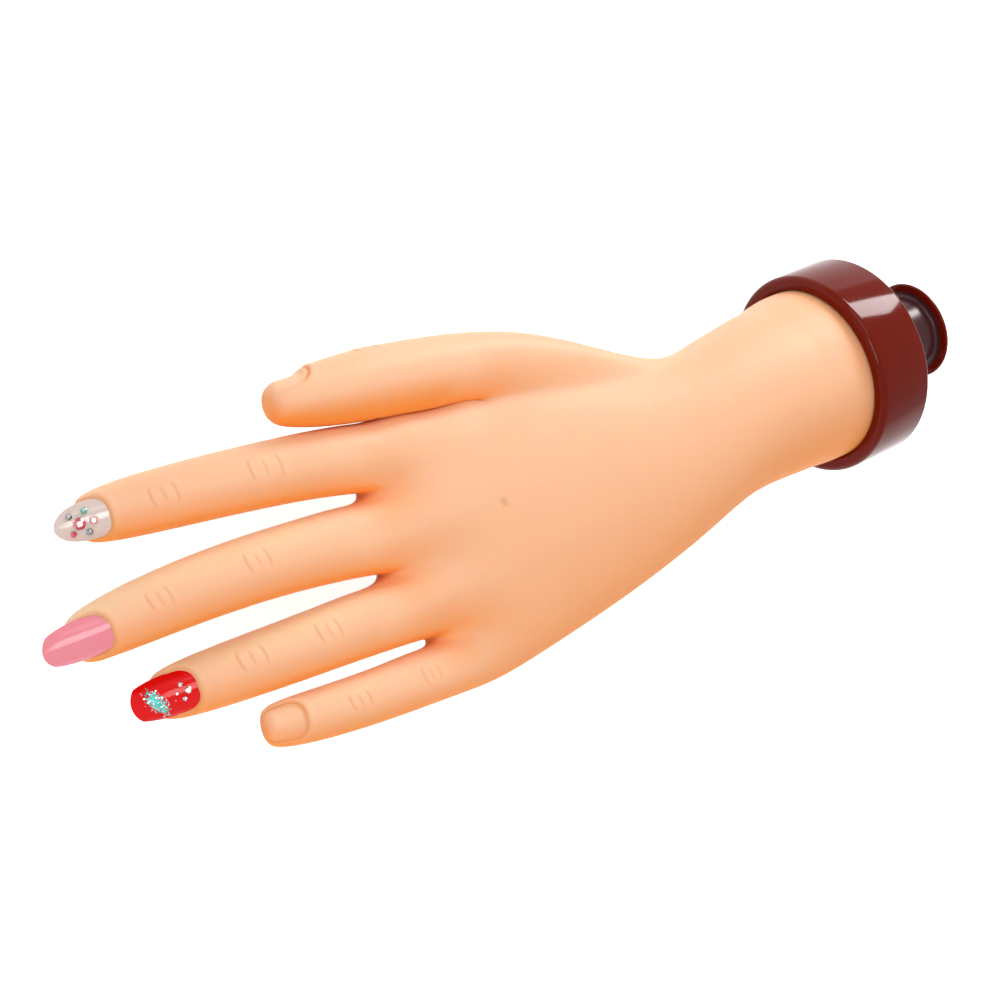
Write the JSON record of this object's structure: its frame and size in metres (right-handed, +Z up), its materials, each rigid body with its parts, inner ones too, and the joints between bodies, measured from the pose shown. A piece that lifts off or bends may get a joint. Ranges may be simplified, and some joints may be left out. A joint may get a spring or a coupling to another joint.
{
  "type": "nail practice hand",
  "caption": "Soft practice hand for manicures, palm down, with bendable fingers, slots for nail tips, a glossy wrist collar and a mounting knob.",
  "frame": {"origin": "middle of the footprint, on the table that the collar's rim and three fingertips touch", "axes": "+X from the fingertips towards the knob behind the wrist, +Y towards the thumb, +Z up through the back of the hand"},
  "size_m": [0.2586, 0.0876, 0.0532],
  "materials": {
    "soft_skin": "soft peach vinyl with a faint sheen",
    "brown_plastic": "polished red-brown",
    "nude_nail": "lacquered pale nude",
    "pink_nail": "lacquered pink",
    "red_nail": "lacquered bright red",
    "red_stone": "faceted and clear",
    "silver_stud": "faceted silver",
    "armature_wire": "soft drawn wire",
    "armature_plastic": "unpainted moulding",
    "screw_steel": "zinc plated"
  },
  "bodies": {
    "hand": {"palm_skin": "soft_skin", "wire_block": "armature_plastic", "wrist_plug": "armature_plastic", "collar": "brown_plastic", "collar_screw_1": "screw_steel", "collar_screw_2": "screw_steel", "collar_screw_3": "screw_steel", "block_screw_1": "screw_steel", "block_screw_2": "screw_steel", "index_wire": "armature_wire", "middle_wire": "armature_wire", "ring_wire": "armature_wire", "little_wire": "armature_wire", "thumb_wire": "armature_wire"},
    "index_finger": {"index_skin": "soft_skin"},
    "middle_finger": {"middle_skin": "soft_skin"},
    "ring_finger": {"ring_skin": "soft_skin"},
    "little_finger": {"little_skin": "soft_skin"},
    "thumb": {"thumb_skin": "soft_skin"},
    "index_nail_tip": {"index_nail": "nude_nail", "index_stone_1": "red_stone", "index_stone_2": "red_stone", "index_stone_3": "red_stone", "index_stone_4": "red_stone", "index_stone_5": "red_stone", "index_stone_6": "red_stone"},
    "middle_nail_tip": {"middle_nail": "pink_nail"},
    "ring_nail_tip": {"ring_nail": "red_nail", "ring_stud_1": "silver_stud", "ring_stud_2": "silver_stud", "ring_stud_3": "silver_stud", "ring_stud_4": "silver_stud"},
    "knob": {"mount_knob": "brown_plastic", "swivel_washer": "screw_steel", "swivel_screw": "screw_steel"}
  },
  "joints": [
    {"name": "index_bend", "type": "hinge", "parent": "hand", "child": "index_finger", "pos_m": [-0.05479, 0.02106, 0.01866], "axis": [-0.153, -0.9881, 0.0147], "range_deg": [-15, 40], "deforming": ["index_wire"]},
    {"name": "middle_bend", "type": "hinge", "parent": "hand", "child": "middle_finger", "pos_m": [-0.05732, 0.00126, 0.0185], "axis": [-0.1309, -0.9913, 0.0126], "range_deg": [-15, 40], "deforming": ["middle_wire"]},
    {"name": "ring_bend", "type": "hinge", "parent": "hand", "child": "ring_finger", "pos_m": [-0.05586, -0.01883, 0.01856], "axis": [-0.0165, -0.9999, 0.0016], "range_deg": [-15, 40], "deforming": ["ring_wire"]},
    {"name": "little_bend", "type": "hinge", "parent": "hand", "child": "little_finger", "pos_m": [-0.04865, -0.03632, 0.01927], "axis": [-0.0287, -0.9996, 0.0028], "range_deg": [-15, 40], "deforming": ["little_wire"]},
    {"name": "thumb_bend", "type": "hinge", "parent": "hand", "child": "thumb", "pos_m": [-0.01934, 0.03197, 0.02187], "axis": [-0.1707, -0.9852, 0.0164], "range_deg": [-15, 40], "deforming": ["thumb_wire"]},
    {"name": "index_nail_slide", "type": "slide", "parent": "index_finger", "child": "index_nail_tip", "axis": [-0.9101, 0.0461, -0.4118], "range_m": [0, 0.012]},
    {"name": "middle_nail_slide", "type": "slide", "parent": "middle_finger", "child": "middle_nail_tip", "axis": [-0.9355, -0.0446, -0.3506], "range_m": [0, 0.012]},
    {"name": "ring_nail_slide", "type": "slide", "parent": "ring_finger", "child": "ring_nail_tip", "axis": [-0.9005, -0.0114, -0.4347], "range_m": [0, 0.012]},
    {"name": "knob_swivel", "type": "hinge", "parent": "hand", "child": "knob", "pos_m": [0.08569, -0.00303, 0.02743], "axis": [0.9954, 0, -0.0958], "continuous": true}
  ]
}
